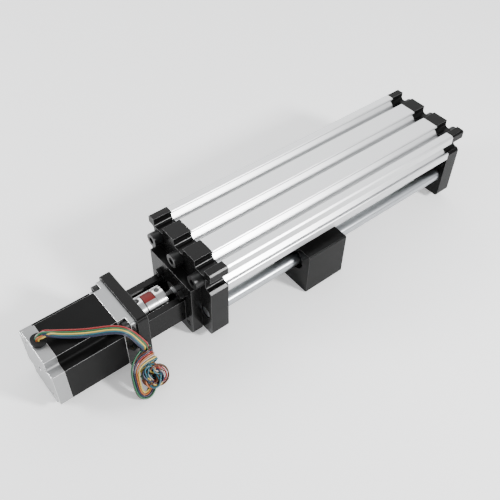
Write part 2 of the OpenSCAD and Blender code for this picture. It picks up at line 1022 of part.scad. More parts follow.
// Round nut with two flats for a spanner
module lock_nut() {
    flats = 15;
    outer = outer_ring_d(screw_bearing) - 1.6;
    color(zinc)
        translate(place)
            intersection() {
                ring_x(outer, journal_d, x_lock_nut, lock_nut_t);
                translate([x_lock_nut, -flats / 2, -outer])
                    cube([lock_nut_t, flats, 2 * outer]);
            }
}

module screw_end_circlip() {
    outer = journal_d + 4;
    gap_w = 4;
    color(zinc)
        translate(place)
            difference() {
                ring_x(outer, journal_d - 2 * circlip_groove, x_circlip, circlip_t);
                translate([x_circlip - cut, -gap_w / 2, 0])
                    cube([circlip_t + 2 * cut, gap_w, outer]);
            }
}

module fixed_bearing_outer_rings() {
    color(steel)
        translate(place) {
            outer_ring(screw_bearing, x_fixed_1);
            outer_ring(screw_bearing, x_fixed_2);
        }
}

module fixed_bearing_inner_rings() {
    color(steel)
        translate(place) {
            inner_ring(screw_bearing, x_fixed_1);
            inner_ring(screw_bearing, x_fixed_2);
        }
}

module fixed_bearing_balls() {
    color(silver)
        translate(place) {
            bearing_balls(screw_bearing, x_fixed_1);
            bearing_balls(screw_bearing, x_fixed_2);
        }
}

module floating_bearing_outer_ring() {
    color(steel)
        translate(place)
            outer_ring(screw_bearing, x_floating);
}

module floating_bearing_inner_ring() {
    color(steel)
        translate(place)
            inner_ring(screw_bearing, x_floating);
}

module floating_bearing_balls() {
    color(silver)
        translate(place)
            bearing_balls(screw_bearing, x_floating);
}

module floating_bearing_retainer() {
    gap_w = 6;
    d_out = bearing_d + 2 * ring_groove;
    color(zinc)
        translate(place)
            difference() {
                ring_x(d_out, bearing_d - 3.4, x_floating + bearing_t, retainer_t);
                translate([x_floating + bearing_t - cut, -gap_w / 2, 0])
                    cube([retainer_t + 2 * cut, gap_w, d_out]);
            }
}

// ---------- carriage ----------

// The six screws of the nut's flange
module nut_screw_places() {
    for (side = [0, 180], angle = nut_screw_angles)
        rotate([side + angle, 0, 0])
            translate([0, nut_pcd / 2, 0])
                children();
}

// The flange's outline: round, with flats above and below
module nut_flange_outline(grow) {
    intersection() {
        circle(d = nut_flange_d + 2 * grow, $fn = 96);
        square([nut_flange_d + 2 * grow, nut_flange_h + 2 * grow], center = true);
    }
}

module carriage_block() {
    height = carriage_rise + carriage_drop;
    screw_gap = 2;
    color(black)
        translate(place)
            difference() {
                slab_x(x_carriage, carriage_len)
                    translate([0, carriage_rise - height / 2])
                        chamfered_rectangle(carriage_w, height, carriage_edge);
                at_shafts() {
                    bar_x(slide_bearing_d, x_carriage - cut, carriage_len + 2 * cut);
                    for (x = [x_slide_bearing - slide_ring_t, x_slide_bearing + slide_bearing_len])
                        bar_x(slide_bearing_d + 2 * slide_ring_groove, x, slide_ring_t);
                }
                // way through for the screw, seat of the nut's body, pocket of its flange
                bar_x(screw_d + 2 * screw_gap, x_carriage - cut, carriage_len);
                bar_x(nut_d, x_carriage_end - nut_len, nut_len + cut);
                slab_x(x_nut_flange, nut_flange_t + cut)
                    nut_flange_outline(nut_pocket_gap);
                nut_screw_places()
                    bar_x(M4[0], x_nut_flange - nut_thread, nut_thread + cut);
                // load screws, from below
                for (sx = [-1, 1], sy = [-1, 1])
                    translate([x_carriage + carriage_len / 2 + sx * load_pitch_x / 2,
                               sy * load_pitch_y / 2, -carriage_drop - cut])
                        cylinder(d = load_hole_d, h = load_hole_depth + cut);
            }
}

module ball_nut() {
    wiper_recess = 2;
    bore = screw_d + 2 * nut_gap;
    x_body = x_carriage_end - nut_len;
    color(steel)
        translate(place)
            difference() {
                union() {
                    bar_x(nut_d, x_body, nut_len, 96);
                    slab_x(x_nut_flange, nut_flange_t)
                        nut_flange_outline(0);
                }
                bar_x(bore, x_body - cut, nut_len + 2 * cut);
                bar_x(wiper_d, x_body - cut, wiper_recess + cut);
                bar_x(wiper_d, x_carriage_end - wiper_recess, wiper_recess + cut);
                nut_screw_places()
                    bar_x(M4[0] + 0.5, x_nut_flange - cut, nut_flange_t + 2 * cut);
            }
}

module nut_wipers() {
    wiper_t = 2;
    bore = screw_d + 2 * nut_gap;
    color([0.9, 0.9, 0.88])
        translate(place) {
            ring_x(wiper_d, bore, x_carriage_end - nut_len, wiper_t);
            ring_x(wiper_d, bore, x_carriage_end - wiper_t, wiper_t);
        }
}

module nut_screws() {
    color(black)
        translate(place)
            nut_screw_places()
                translate([x_carriage_end, 0, 0])
                    mirror([1, 0, 0])
                        cap_screw_x(M4, 0, nut_flange_t + nut_thread - 1);
}

module linear_bearing() {
    difference() {
        bar_x(slide_bearing_d, x_slide_bearing, slide_bearing_len);
        bar_x(shaft_d + 2 * slide_gap, x_slide_bearing - cut, slide_bearing_len + 2 * cut);
        for (x = [x_slide_bearing - cut, x_slide_bearing + slide_bearing_len - seal_t])
            bar_x(seal_d, x, seal_t + cut);
    }
}

module linear_bearing_near() {
    color(steel)
        translate(place)
            translate([0, -shaft_span / 2, 0])
                linear_bearing();
}

module linear_bearing_far() {
    color(steel)
        translate(place)
            translate([0, shaft_span / 2, 0])
                linear_bearing();
}

module linear_bearing_seals() {
    color([0.08, 0.08, 0.08])
        translate(place)
            at_shafts()
                for (x = [x_slide_bearing, x_slide_bearing + slide_bearing_len - seal_t])
                    ring_x(seal_d, shaft_d + 2 * slide_gap, x, seal_t);
}

module linear_bearing_retainers() {
    gap_w = 5;
    d_out = slide_bearing_d + 2 * slide_ring_groove;
    color(zinc)
        translate(place)
            at_shafts()
                for (x = [x_slide_bearing - slide_ring_t, x_slide_bearing + slide_bearing_len])
                    difference() {
                        ring_x(d_out, slide_bearing_d - 2.4, x, slide_ring_t);
                        translate([x - cut, -gap_w / 2, -d_out])
                            cube([slide_ring_t + 2 * cut, gap_w, d_out]);
                    }
}

// ---------- leads ----------

module lead_grommet() {
    r = 5;
    color([0.07, 0.07, 0.07])
        translate(place)
            translate([x_grommet, grommet_y, motor_w / 2])
                difference() {
                    linear_extrude(height = grommet_h) {
                        for (sx = [-1, 1], sy = [-1, 1])
                            translate([sx * (grommet_len / 2 - r), sy * (grommet_w / 2 - r)])
                                circle(r = r);
                        square([grommet_len - 2 * r, grommet_w], center = true);
                        square([grommet_len, grommet_w - 2 * r], center = true);
                    }
                    translate([0, 0, grommet_h * 0.4])
                        cylinder(d = bundle_d, h = grommet_h);
                }
}

// Route of the bundle from the grommet over the motor and down its near front corner
bundle_route = [
    [-69.5, 2, 29.4], [-69.5, 2, 31.6], [-68.6, 1.8, 34], [-66, 1.2, 34.6],
    [-61, -1, 33], [-56, -4, 31.3], [-49, -9, 31], [-42, -14, 31], [-34, -19, 31],
    [-26, -23, 31], [-19, -27, 31.2], [-13, -31, 30.5], [-9, -34.5, 26.8],
    [-6, -36.5, 20], [-3, -37.2, 12], [0, -37.5, 4], [2, -38, -4],
    [2.5, -39, -9], [2.5, -39, -12.5]
];

function unit(v) = v / norm(v);
function route_way(p, i) =
    unit(p[min(i + 1, len(p) - 1)] - p[max(i - 1, 0)]);

// One ring of points round each point of a route
function route_points(p, r, sides) = [
    for (i = [0 : len(p) - 1])
        let (way = route_way(p, i), side = unit(cross(way, [0.3, 1, 0.1])), up = cross(side, way))
            for (k = [0 : sides - 1])
                p[i] + r * cos(360 * k / sides) * side + r * sin(360 * k / sides) * up
];

function route_faces(n, sides) = concat(
    [[for (k = [0 : sides - 1]) k]],
    [
        for (i = [0 : n - 2], k = [0 : sides - 1])
            [i * sides + k, (i + 1) * sides + k,
             (i + 1) * sides + (k + 1) % sides, i * sides + (k + 1) % sides]
    ],
    [[for (k = [sides - 1 : -1 : 0]) (n - 1) * sides + k]]
);

module lead_bundle() {
    sides = 8;
    color([0.75, 0.55, 0.2])
        translate(place)
            polyhedron(
                points = route_points(bundle_route, bundle_d / 2, sides),
                faces = route_faces(len(bundle_route), sides),
                convexity = 4
            );
}

// The folded hank: its middle, length, width, thickness and turn
hank_middle = [-4, -51, -21.5];
hank_size = [38, 30, 18];
hank_turn = 65;

module lead_hank() {
    r = hank_size[1] / 2;
    color([0.75, 0.55, 0.2])
        translate(place)
            translate(hank_middle)
                rotate(hank_turn)
                    translate([0, 0, -hank_size[2] / 2])
                        linear_extrude(height = hank_size[2]) {
                            square([hank_size[0] - 2 * r, 2 * r], center = true);
                            for (side = [-1, 1])
                                translate([side * (hank_size[0] / 2 - r), 0])
                                    circle(r = r);
                        }
}

profile();
motor_end_block();
far_end_block();
motor_bracket();
guide_shaft_near();
guide_shaft_far();
profile_screws_motor_end();
profile_screws_far_end();
bracket_screws();
motor_screws();
shaft_set_screws();
motor_front_bell();
motor_stator();
motor_windings();
motor_rear_cap();
motor_through_bolts();
motor_bearing_outer_rings();
fixed_bearing_outer_rings();
floating_bearing_outer_ring();
floating_bearing_retainer();
motor_shaft();
motor_rotor();
motor_bearing_inner_rings();
motor_bearing_balls();
coupling_hub_motor();
coupling_spider();
coupling_hub_screw();
coupling_set_screws();
ball_screw();
bearing_spacer();
lock_nut();
fixed_bearing_inner_rings();
fixed_bearing_balls();
floating_bearing_inner_ring();
floating_bearing_balls();
screw_end_circlip();
carriage_block();
ball_nut();
nut_wipers();
nut_screws();
linear_bearing_near();
linear_bearing_far();
linear_bearing_seals();
linear_bearing_retainers();
lead_grommet();
lead_bundle();
lead_hank();
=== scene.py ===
import math
import bpy
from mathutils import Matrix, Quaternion, Vector, kdtree
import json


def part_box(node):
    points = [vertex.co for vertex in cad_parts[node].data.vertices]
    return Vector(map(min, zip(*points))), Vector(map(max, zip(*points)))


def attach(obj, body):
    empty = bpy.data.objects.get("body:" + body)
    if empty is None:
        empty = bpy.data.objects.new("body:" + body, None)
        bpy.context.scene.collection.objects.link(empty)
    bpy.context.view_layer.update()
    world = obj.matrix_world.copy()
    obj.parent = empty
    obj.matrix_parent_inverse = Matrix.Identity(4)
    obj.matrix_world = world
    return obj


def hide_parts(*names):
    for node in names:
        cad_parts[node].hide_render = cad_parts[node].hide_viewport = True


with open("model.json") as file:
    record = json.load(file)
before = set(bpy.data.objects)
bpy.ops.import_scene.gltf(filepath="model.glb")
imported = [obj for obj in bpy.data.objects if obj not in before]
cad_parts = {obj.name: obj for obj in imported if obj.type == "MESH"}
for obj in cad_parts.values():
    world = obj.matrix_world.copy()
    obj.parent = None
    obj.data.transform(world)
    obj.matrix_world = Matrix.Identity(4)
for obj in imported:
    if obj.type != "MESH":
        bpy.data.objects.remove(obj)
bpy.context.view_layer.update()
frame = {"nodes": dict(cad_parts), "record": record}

# Looks of the ball screw linear module. Objects and lights are placed in metres in the row's frame.
# Formulas in materials are in millimetres in the same frame. The leads' routes and the camera's
# place are in millimetres too, but X starts at the motor's mounting face and Z at the screw's axis.
MM = 0.001
MOUNT_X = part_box("motor_bracket")[0].x
AXIS_Z = sum(p.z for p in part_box("guide_shaft_near")) / 2
FLOOR_MM = -AXIS_Z / MM


def at(x, y, z):
    """A point given in millimetres from the motor's mounting face and the screw's axis."""
    return Vector((MOUNT_X + x * MM, y * MM, AXIS_Z + z * MM))


def add_object(name, data):
    made = bpy.data.objects.new(name, data)
    bpy.context.scene.collection.objects.link(made)
    return made


def turn_to(made, facing, front, roll=0):
    """Turn an object's front axis to a direction, its Y axis up, then roll it by some degrees."""
    made.rotation_mode = "QUATERNION"
    turned = facing.to_track_quat(front, "Y")
    made.rotation_quaternion = turned @ Quaternion((0, 0, 1), math.radians(roll))


# ---------- camera ----------

CAMERA_AT = at(-139.15, -336.74, 467.42)
CAMERA_AZIMUTH = -39.48
CAMERA_ELEVATION = 47.18
CAMERA_ROLL = 1.27
CAMERA_LENS = 49.45
CAMERA_SENSOR = 36
CAMERA_CLIP = (0.01, 20)


def add_camera():
    azimuth, elevation = math.radians(CAMERA_AZIMUTH), math.radians(CAMERA_ELEVATION)
    level = math.cos(elevation)
    back = Vector((math.sin(azimuth) * level, -math.cos(azimuth) * level, math.sin(elevation)))
    camera = add_object("camera", bpy.data.cameras.new("camera"))
    camera.location = CAMERA_AT
    turn_to(camera, back, "Z", CAMERA_ROLL)
    camera.data.lens = CAMERA_LENS
    camera.data.sensor_width = CAMERA_SENSOR
    camera.data.clip_start, camera.data.clip_end = CAMERA_CLIP
    bpy.context.scene.camera = camera


add_camera()

# ---------- shader formulas ----------


class Value:
    """A node's output. In a formula it stands for the number that it gives."""

    def __init__(self, look, socket):
        self.look, self.socket = look, socket

    def __add__(self, other):
        return self.look.math("ADD", self, other)

    def __radd__(self, other):
        return self.look.math("ADD", other, self)

    def __sub__(self, other):
        return self.look.math("SUBTRACT", self, other)

    def __rsub__(self, other):
        return self.look.math("SUBTRACT", other, self)

    def __mul__(self, other):
        return self.look.math("MULTIPLY", self, other)

    def __rmul__(self, other):
        return self.look.math("MULTIPLY", other, self)

    def __abs__(self):
        return self.look.math("ABSOLUTE", self)

    def ramp(self, low, high):
        """0 below low, 1 above high, smooth between."""
        return self.look.node("MapRange", {"Value": self, "From Min": low, "From Max": high},
                              "Result", interpolation_type="SMOOTHSTEP")

    def between(self, low, high):
        """Low where the value is 0, high where it is 1."""
        return low + (high - low) * self


# Painted highlight along sharp edges: the radius they are rounded to, and where the lighter colour
# starts and is full
EDGE_HIGHLIGHT_R = 0.6
EDGE_HIGHLIGHT_FROM, EDGE_HIGHLIGHT_TO = 0.01, 0.12
BEVEL_SAMPLES = 8
SEED_WAY = (1, 1.7, 0.6)


class Look:
    """A material with one shader, and the formulas that vary it over the surface."""

    def __init__(self, name):
        self.material = bpy.data.materials.new(name)
        self.material.use_nodes = True
        self.tree = self.material.node_tree
        metres = self.node("TexCoord", {}, "Object")
        self.place = self.node("VectorMath", {0: metres, "Scale": 1 / MM}, operation="SCALE")

    def node(self, kind, sockets, output=0, **settings):
        """A new node's output. Its settings come first, then its sockets' values or links."""
        node = self.tree.nodes.new("ShaderNode" + kind)
        for name, setting in settings.items():
            setattr(node, name, setting)
        self.fill(node, sockets)
        return Value(self, node.outputs[output])

    def fill(self, node, sockets):
        for name, value in sockets.items():
            if isinstance(value, Value):
                self.tree.links.new(value.socket, node.inputs[name])
            else:
                node.inputs[name].default_value = value

    def finish(self, sockets):
        """The material, once its shader's sockets have their values or formulas."""
        self.fill(self.tree.nodes["Principled BSDF"], sockets)
        return self.material

    def math(self, operation, *values):
        return self.node("Math", dict(enumerate(values)), operation=operation)

    def along(self, axis):
        """The place along one axis in millimetres."""
        return self.node("SeparateXYZ", {"Vector": self.place}, axis)

    def noise(self, size, stretch=(1, 1, 1), detail=3, seed=0):
        """Noise from 0 to 1 whose spots are about size millimetres, stretched along the axes."""
        spots = self.node("Mapping", {
            "Vector": self.place,
            "Scale": [1 / (size * s) for s in stretch],
            "Location": [seed * s for s in SEED_WAY],
        })
        return self.node("TexNoise", {"Vector": spots, "Scale": 1, "Detail": detail})

    def mix(self, amount, dark, light):
        """The dark colour where the amount is 0, the light one where it is 1."""
        return self.node("Mix", {"Factor": amount, "A": dark, "B": light}, "Result",
                         data_type="RGBA")

    def painted_edge_highlight(self, color, bare):
        """A colour that gives way to the bare one along sharp edges: a painted highlight, with bare
        as the highlight's colour.
        """
        flat = self.node("NewGeometry", {}, "Normal")
        same = self.node("VectorMath", {0: self.rounded(EDGE_HIGHLIGHT_R), 1: flat}, "Value",
                         operation="DOT_PRODUCT")
        return self.mix((1 - same).ramp(EDGE_HIGHLIGHT_FROM, EDGE_HIGHLIGHT_TO), color, bare)

    def rounded(self, radius):
        """The normal as if sharp edges had this radius."""
        return self.node("Bevel", {"Radius": radius * MM}, samples=BEVEL_SAMPLES)

    def bump(self, height, edge=0):
        """The normal of a height in millimetres. Sharp edges look rounded to the edge's radius."""
        sockets = {"Height": height, "Strength": 1, "Distance": MM}
        if edge:
            sockets["Normal"] = self.rounded(edge)
        return self.node("Bump", sockets)


def paint(color, share=1.0):
    """A colour's share, opaque."""
    return (*(c * share for c in color), 1)


def tone(level, warmth=0.0):
    """A grey, a little warm or cool."""
    return paint((level * (1 + warmth), level, level * (1 - warmth)))


# ---------- materials ----------

SCREW_LEAD = 4.0
GROOVE_DEPTH = 0.7
GROOVE_FROM, GROOVE_TO = 0.42, 0.62
THREAD_AIR = 1
THREAD_FADE = 0.3
SHEET_T = 0.5
# Where the bell's ground faces start and fade in. They are also painted nearly black: a painted
# dark reflection
GROUND_DEPTH, GROUND_FADE = 0.4, 0.2
GROUND_ROUGHNESS = 0.13


def clear_anodised():
    look = Look("clear_anodised")
    drawn = look.noise(size=0.35, stretch=(400, 1, 1), detail=4)
    cloud = look.noise(size=30, stretch=(3, 1, 1), detail=2, seed=4)
    return look.finish({
        "Base Color": look.mix(0.5 * drawn + 0.5 * cloud, tone(0.58, -0.01), tone(0.70, -0.01)),
        "Metallic": 0.75,
        "Roughness": (0.6 * drawn + 0.4 * cloud).between(0.26, 0.42),
        "Normal": look.bump(0.012 * drawn, edge=0.5),
    })


def black_anodised(name="black_anodised", shine=0.12):
    look = Look(name)
    grain = look.noise(size=0.25, detail=2)
    cloud = look.noise(size=14, detail=3, seed=2)
    black = look.mix(cloud, tone(0.003, 0.01), tone(0.006, 0.01))
    return look.finish({
        # Sharp edges painted lighter grey: a painted highlight
        "Base Color": look.painted_edge_highlight(black, tone(0.11)),
        "Roughness": (0.4 * grain + 0.6 * cloud).between(0.16, 0.3),
        "Specular IOR Level": shine,
        "Normal": look.bump(0.006 * grain, edge=0.7),
    })


def hard_chrome():
    look = Look("hard_chrome")
    ground = look.noise(size=0.3, stretch=(1, 60, 60))
    return look.finish({
        "Base Color": look.mix(ground, tone(0.36, -0.04), tone(0.46, -0.04)),
        "Metallic": 1,
        "Roughness": ground.between(0.26, 0.36),
        "Normal": look.bump(0.002 * ground),
    })


def turned_metal(name, dark, light, roughness):
    look = Look(name)
    lines = look.noise(size=0.25, stretch=(1, 40, 40))
    cloud = look.noise(size=9, detail=2, seed=3)
    return look.finish({
        "Base Color": look.mix(0.6 * lines + 0.4 * cloud, dark, light),
        "Metallic": 1,
        "Roughness": (0.5 * lines + 0.5 * cloud).between(roughness - 0.08, roughness + 0.1),
        "Normal": look.bump(0.004 * lines),
    })


def screw_thread():
    """Ground steel with the ball screw's helical groove between the end blocks. The groove is
    bumped in and painted darker as painted shade.
    """
    look = Look("screw_thread")
    x = look.along("X")
    around = look.math("ARCTAN2", look.along("Z") - AXIS_Z / MM, look.along("Y"))
    turns = (1 / SCREW_LEAD) * x + (0.5 / math.pi) * around
    land = 2 * look.math("PINGPONG", turns, 0.5)
    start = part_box("motor_end_block")[1].x / MM + THREAD_AIR
    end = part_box("far_end_block")[0].x / MM - THREAD_AIR
    threaded = x.ramp(start - THREAD_FADE, start) * (1 - x.ramp(end, end + THREAD_FADE))
    groove = (1 - land.ramp(GROOVE_FROM, GROOVE_TO)) * threaded
    lines = look.noise(size=0.3, stretch=(1, 40, 40))
    return look.finish({
        # The groove is painted darker: painted shade in the recess
        "Base Color": look.mix(0.8 * groove + 0.2 * lines, tone(0.60), tone(0.34)),
        "Metallic": 1,
        "Roughness": (0.6 * lines + 0.4 * groove).between(0.12, 0.3),
        "Normal": look.bump(0.002 * lines - GROOVE_DEPTH * groove),
    })


def black_oxide():
    look = Look("black_oxide")
    grain = look.noise(size=0.5)
    return look.finish({
        "Base Color": look.mix(grain, tone(0.008), tone(0.02)),
        "Metallic": 0.2,
        "Roughness": grain.between(0.25, 0.45),
        "Specular IOR Level": 0.3,
        "Normal": look.bump(0.01 * grain),
    })


def cast_aluminium(name="cast_aluminium", ground_at=None):
    """Fine cast metal. Faces about ground_at millimetres from the middle plane are ground:
    smoother, and painted nearly black as a painted dark reflection.
    """
    look = Look(name)
    grain = look.noise(size=0.4, detail=4)
    cloud = look.noise(size=12, detail=2, seed=5)
    light, roughness = (grain + cloud).between(0.7, 0.85), grain.between(0.34, 0.5)
    if ground_at:
        # Ground faces get low roughness and are painted nearly black: a painted dark reflection
        cast = 1 - abs(look.along("Y")).ramp(ground_at - GROUND_DEPTH, ground_at - GROUND_FADE)
        light, grain = light * cast, grain * cast
        roughness = roughness * cast + GROUND_ROUGHNESS * (1 - cast)
    return look.finish({
        # Sharp edges painted near white: a painted highlight
        "Base Color": look.painted_edge_highlight(look.mix(light, tone(0.09), tone(0.36, -0.01)), tone(0.9)),
        "Metallic": 0.85,
        "Roughness": roughness,
        "Normal": look.bump(0.02 * grain, edge=0.8),
    })


def lamination():
    """The ground edges of a stack of thin sheets."""
    look = Look("lamination")
    sheets = 0.5 + 0.5 * look.math("SINE", (2 * math.pi / SHEET_T) * look.along("X"))
    cloud = look.noise(size=10, detail=3, seed=7)
    return look.finish({
        # Sharp edges painted grey: a painted highlight
        "Base Color": look.painted_edge_highlight(look.mix(cloud, tone(0.003), tone(0.006)), tone(0.3)),
        "Roughness": cloud.between(0.28, 0.42),
        "Specular IOR Level": 0.075,
        "Normal": look.bump(0.012 * sheets + 0.01 * cloud, edge=0.7),
    })


def copper_winding():
    look = Look("copper_winding")
    strands = look.noise(size=0.5, stretch=(30, 1, 1), detail=2)
    return look.finish({
        "Base Color": look.mix(strands, paint((0.35, 0.12, 0.04)), paint((0.65, 0.28, 0.10))),
        "Metallic": 0.9,
        "Roughness": strands.between(0.25, 0.45),
        "Normal": look.bump(0.1 * strands),
    })


def moulded(name, dark, light, roughness, shine=0.5):
    """Rubber or plastic out of a mould."""
    look = Look(name)
    fine = look.noise(size=0.4)
    cloud = look.noise(size=8, detail=2, seed=3)
    return look.finish({
        "Base Color": look.mix(0.4 * fine + 0.6 * cloud, dark, light),
        "Roughness": cloud.between(roughness - 0.06, roughness + 0.08),
        "Specular IOR Level": shine,
        "Normal": look.bump(0.01 * fine),
    })


SLOT_LOOKS = {
    "clear_anodised": clear_anodised(),
    "black_anodised": black_anodised(),
    "hard_chrome": hard_chrome(),
    "black_oxide": black_oxide(),
    "zinc_steel": turned_metal("zinc_steel", tone(0.35), tone(0.5), 0.35),
    "cast_aluminium": cast_aluminium(),
    "lamination": lamination(),
    "rotor_steel": turned_metal("rotor_steel", tone(0.25), tone(0.35), 0.4),
    "copper_winding": copper_winding(),
    "bearing_steel": turned_metal("bearing_steel", tone(0.5), tone(0.65), 0.22),
    "ground_steel": turned_metal("ground_steel", tone(0.5), tone(0.66), 0.2),
    "polished_aluminium": turned_metal("polished_aluminium", tone(0.60), tone(0.76), 0.15),
    "spider_rubber": moulded("spider_rubber", paint((0.12, 0.008, 0.008)),
                             paint((0.19, 0.014, 0.013)), 0.4, shine=0.3),
    "wiper_plastic": moulded("wiper_plastic", tone(0.6, 0.03), tone(0.75, 0.03), 0.5),
    "black_rubber": moulded("black_rubber", tone(0.008), tone(0.016), 0.55, shine=0.15),
}
# A copy of black anodised with half the specular, so the carriage and far block look darker:
# painted shade
PAINTED_SHADE_ANODISED = black_anodised("painted_shade_anodised", 0.06)
# Nodes whose look isn't just that of their slot
NODE_LOOKS = {
    "ball_screw": screw_thread(),
    "carriage_block": PAINTED_SHADE_ANODISED,
    "far_end_block": PAINTED_SHADE_ANODISED,
    # The bell's ground side faces are painted nearly black: a painted dark reflection
    "motor_front_bell": cast_aluminium("bell_aluminium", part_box("motor_front_bell")[1].y / MM),
}

for part in frame["record"]["subparts"]:
    material = NODE_LOOKS.get(part["node"]) or SLOT_LOOKS.get(part["material_slot"])
    if material:
        materials = frame["nodes"][part["node"]].data.materials
        materials.clear()
        materials.append(material)

# ---------- leads ----------

LEAD_D = 1.5
LEAD_LEN = 360.0
LEAD_STEP = 1.8
LEAD_SHADES = (0.55, 0.75)
TIP_D = 0.8
TIP_LEN = 5.0
TIP_COVERED = 1.0
# Name, colour, place across the flat part and layer in it, place across the hank
LEADS = [
    ("red", (0.36, 0.03, 0.03), 4.0, 0.75, 3),
    ("white", (0.56, 0.47, 0.42), 2.9, -0.75, 5),
    ("green", (0.02, 0.14, 0.06), 2.0, 0.75, 0),
    ("orange", (0.45, 0.13, 0.03), 1.1, -0.75, 4),
    ("yellow", (0.72, 0.52, 0.10), 0.2, 0.75, 6),
    ("brown", (0.12, 0.035, 0.015), -0.7, -0.75, 1),
    ("blue", (0.025, 0.13, 0.17), -1.6, 0.75, 7),
    ("black", (0.012, 0.018, 0.055), -3.3, 0.55, 2),
]
# In the grommet one lead lies in the middle and the others stand round it
ROUND_LEADS = len(LEADS) - 1
GROMMET_R = 1.75
# How flat the way is where the round bundle has opened up
OPEN_AT = 0.6
# The way of the leads' middle over the motor: place, direction across it, how flat it is
WAY = [
    ((-69.5, 2.0, 29.8), (0.5, 0.8, 0.0), 0.0),
    ((-69.5, 2.0, 31.8), (0.5, 0.8, 0.0), 0.0),
    ((-68.3, 1.6, 34.6), (0.5, 0.8, 0.0), 0.1),
    ((-65.0, 0.4, 36.0), (0.4, 0.9, 0.0), 0.3),
    ((-60.5, -1.6, 34.0), (0.4, 0.9, 0.0), 0.7),
    ((-55.0, -4.5, 31.6), (0.45, 0.9, 0.0), 1.0),
    ((-48.0, -9.0, 30.9), (0.5, 0.85, 0.0), 1.0),
    ((-41.0, -14.0, 30.8), (0.5, 0.85, 0.0), 1.0),
    ((-33.0, -18.6, 30.8), (0.5, 0.85, 0.0), 1.0),
    ((-25.0, -22.6, 30.9), (0.5, 0.85, 0.0), 0.95),
    ((-18.0, -26.8, 31.0), (0.55, 0.8, 0.0), 0.9),
    ((-12.5, -31.2, 29.8), (0.6, 0.75, 0.0), 0.85),
    ((-9.0, -34.4, 25.6), (0.7, 0.6, 0.0), 0.8),
    ((-6.0, -36.2, 19.0), (0.85, 0.4, 0.2), 0.8),
    ((-3.0, -37.0, 11.5), (0.9, 0.2, 0.3), 0.8),
    ((-0.2, -37.0, 4.5), (0.95, 0.1, 0.2), 0.7),
]
# The hank leans from the floor to the bracket. Its own plane: along X, up the slope, off the plane
HANK_AT = Vector((-3.0, -47.0, -17.0))
HANK_UP = Vector((0.0, 0.72, 0.69)).normalized()
HANK_OFF = Vector((1, 0, 0)).cross(HANK_UP)
# Each place: the three coordinates, how flat the leads lie, the direction across them in degrees
HANK = [
    (3.0, 14.0, -6.0, 0.3, 0), (3.0, 4.0, -6.0, 0.2, 0), (0.5, -6.0, -5.0, 0.1, -30),
    (-5.5, -13.6, -3.0, 0.0, -60), (-13.5, -15.6, -0.5, 0.0, -100), (-17.0, -10.0, 1.2, 0.0, -160),
    (-15.2, 0.0, 2.6, 0.0, -180), (-12.6, 8.4, 3.4, 0.2, -210), (-5.0, 13.0, 3.8, 0.8, -250),
    (2.5, 14.0, 3.6, 1.0, -268), (7.6, 13.4, 2.4, 1.0, -272), (9.2, 12.6, -0.4, 1.0, -272),
    (7.0, 11.4, -3.0, 1.0, -265), (1.0, 7.5, -3.2, 0.6, -240), (-4.0, 0.5, -2.6, 0.3, -215),
    (-3.5, -7.5, -1.6, 0.2, -180), (2.5, -11.6, -0.4, 0.2, -110), (8.6, -9.6, 0.8, 0.2, -45),
    (9.0, -3.0, 2.0, 0.3, 10), (3.0, 1.5, 3.0, 0.2, 75),
]
# Where the hank is flat its leads lie side by side, and where it is thick they lie in four pairs
FLAT_PITCH, FLAT_WAVE = 1.75, 0.3
PAIRS = len(LEADS) // 2
PAIR_PITCH, PAIR_HALF = 1.7, 0.85
# The loose rest inside the hank goes round an oval, each lead's at another slant, in degrees
OVAL_MIDDLE = (-1.5, -3.0, 0.5)
OVAL_LONG, OVAL_SHORT = 9.0, 5.6
OVAL_STRETCH = 1.2
OVAL_SLANT, OVAL_SLANT_STEP = 25, 67
OVAL_POINTS, OVAL_TURN = 26, 36
OVAL_RISE, OVAL_SINK, OVAL_WAVE = 0.55, 0.05, 1.2
ROUTE_STEP = 0.6
# How the leads settle. The first HELD points of each stay where they are, in the grommet
SETTLE_ROUNDS = 90
HELD = 3
# Leads nearer than the gap are moved apart, but not a lead's own points that are next to it
LEAD_GAP = LEAD_D * 1.02
OWN_POINTS = 4
SAME_PLACE = 1e-6
SMOOTHING = 0.1
# The tightest bend that a lead settles for, seen over so many steps to each side
BEND_R = 3.9
BEND_REACHES = (1, 2)
FLOOR_AIR = LEAD_D / 2 + 0.05
WALL_AIR = LEAD_D / 2 + 0.1
PLATE_T = 9.5


def millimetres(corner):
    """A corner in the row's frame, as the leads' routes give it."""
    return [(c - origin) / MM for c, origin in zip(corner, at(0, 0, 0))]


WALLS = [[millimetres(corner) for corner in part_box(node)]
         for node in ("motor_front_bell", "motor_stator", "motor_bracket")]
# Of the bracket only the motor plate counts as a wall
WALLS[2][1][0] = PLATE_T


def smooth(t):
    t = min(max(t, 0.0), 1.0)
    return t * t * (3 - 2 * t)


def spline(points, step):
    """Points about step apart on a smooth curve through the given ones."""
    ends = [points[0] * 2 - points[1]] + points + [points[-1] * 2 - points[-2]]
    out = [points[0]]
    for i in range(1, len(ends) - 2):
        a, b, c, d = ends[i - 1:i + 3]
        count = max(1, round((c - b).length / step))
        for k in range(1, count + 1):
            t = k / count
            out.append(0.5 * (2 * b + (c - a) * t + (2 * a - 5 * b + 4 * c - d) * t * t
                              + (3 * b - a - 3 * c + d) * t ** 3))
    return out


def spaced(points, step, count):
    """The first count points of a line, a step apart along it."""
    out, left = [points[0]], step
    for a, b in zip(points, points[1:]):
        length, done = (b - a).length, 0.0
        while length - done >= left and len(out) < count:
            done += left
            out.append(a.lerp(b, done / length))
            left = step
        left -= length - done
    return out


def hank_point(u, v, w):
    return HANK_AT + Vector((u, 0, 0)) + HANK_UP * v + HANK_OFF * w


